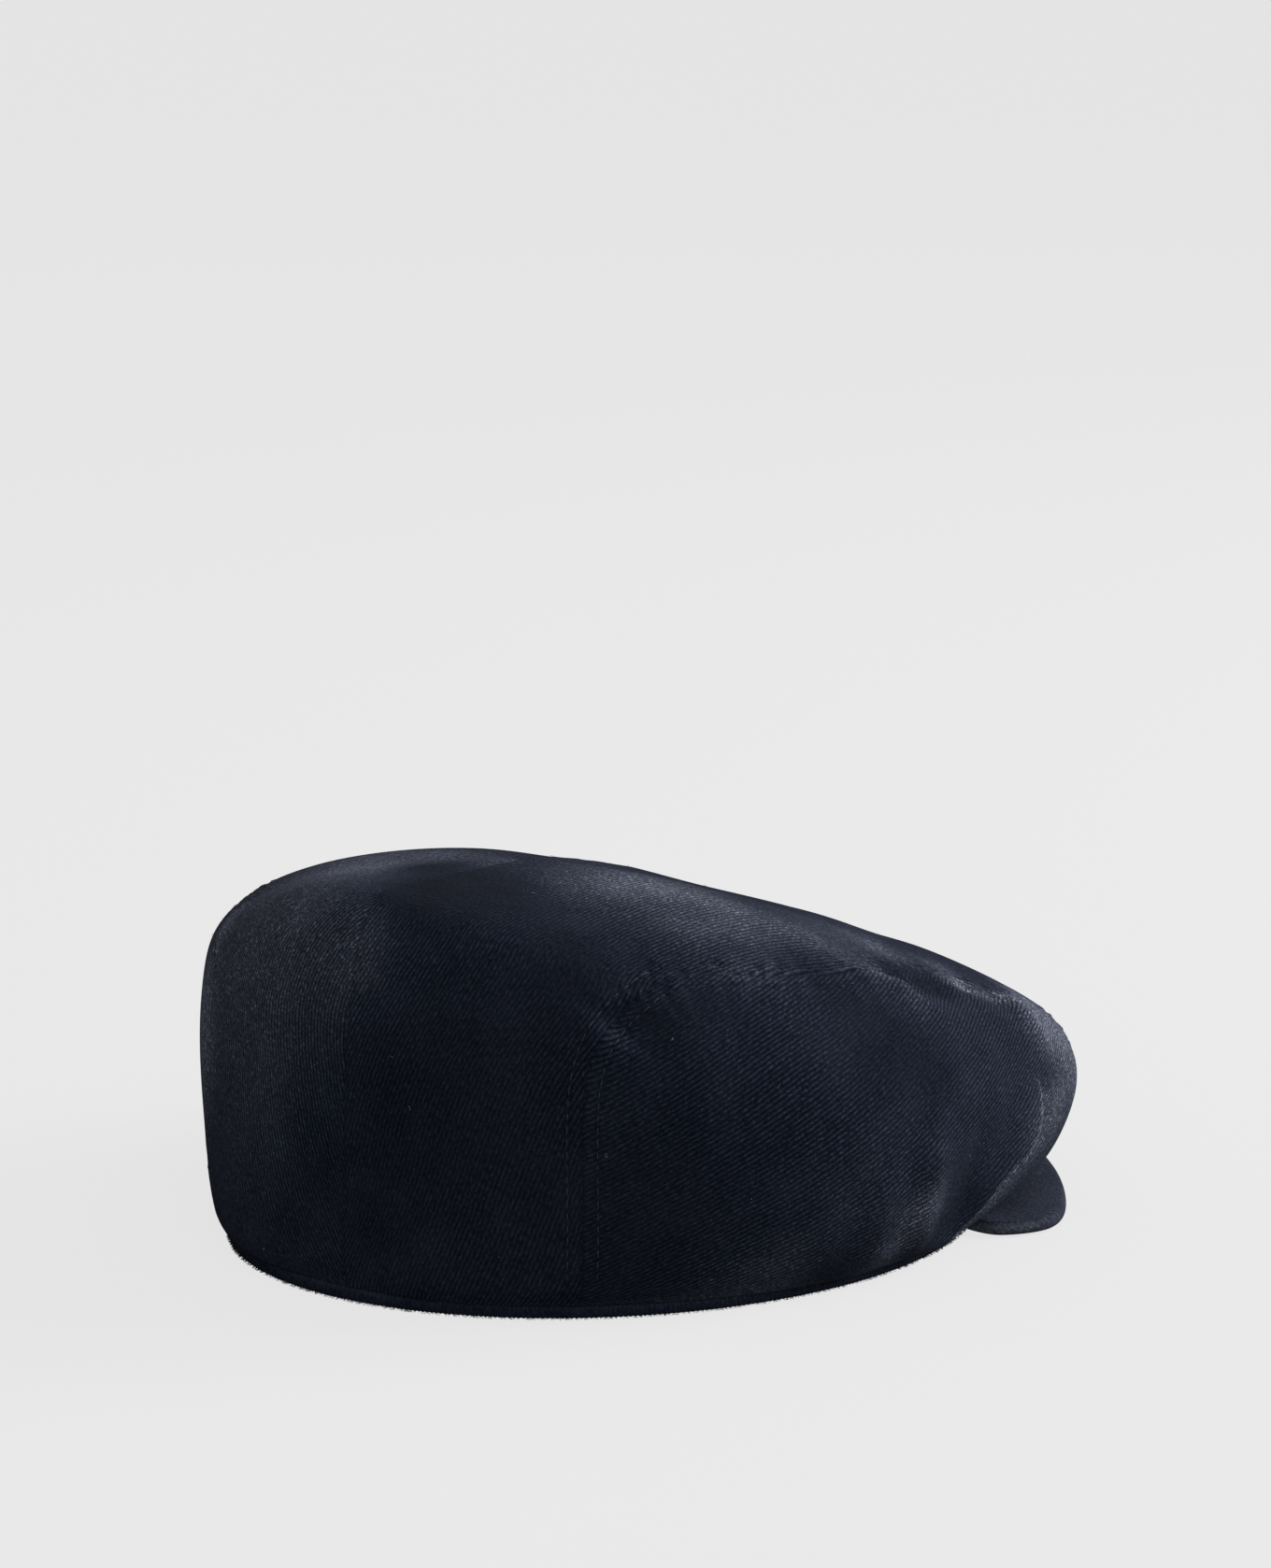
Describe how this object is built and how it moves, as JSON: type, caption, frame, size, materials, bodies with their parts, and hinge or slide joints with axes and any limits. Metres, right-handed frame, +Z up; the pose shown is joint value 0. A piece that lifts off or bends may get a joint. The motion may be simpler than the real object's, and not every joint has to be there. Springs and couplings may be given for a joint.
{
  "type": "flat cap",
  "caption": "Soft flat cap of ribbed velvet: a crown of sewn panels, full over the band and falling to the front, a narrow hem band and a small stiff peak under the front.",
  "frame": {"origin": "middle of the whole cap's box, on the surface that the cap rests on", "axes": "+Z up from the surface; the peak and the wearer's face point along -Y; the wearer's right side is -X"},
  "size_m": [0.2072, 0.2316, 0.0944],
  "materials": {
    "velvet": "dark navy ribbed velvet, soft pile",
    "band_velvet": "darker navy velvet with a raised pile edge",
    "peak_velvet": "smooth navy velvet over a stiff board"
  },
  "bodies": {
    "root": {"right_top_panel": "velvet", "left_top_panel": "velvet", "front_panel": "velvet", "hem_band": "band_velvet", "peak": "peak_velvet"}
  },
  "joints": []
}
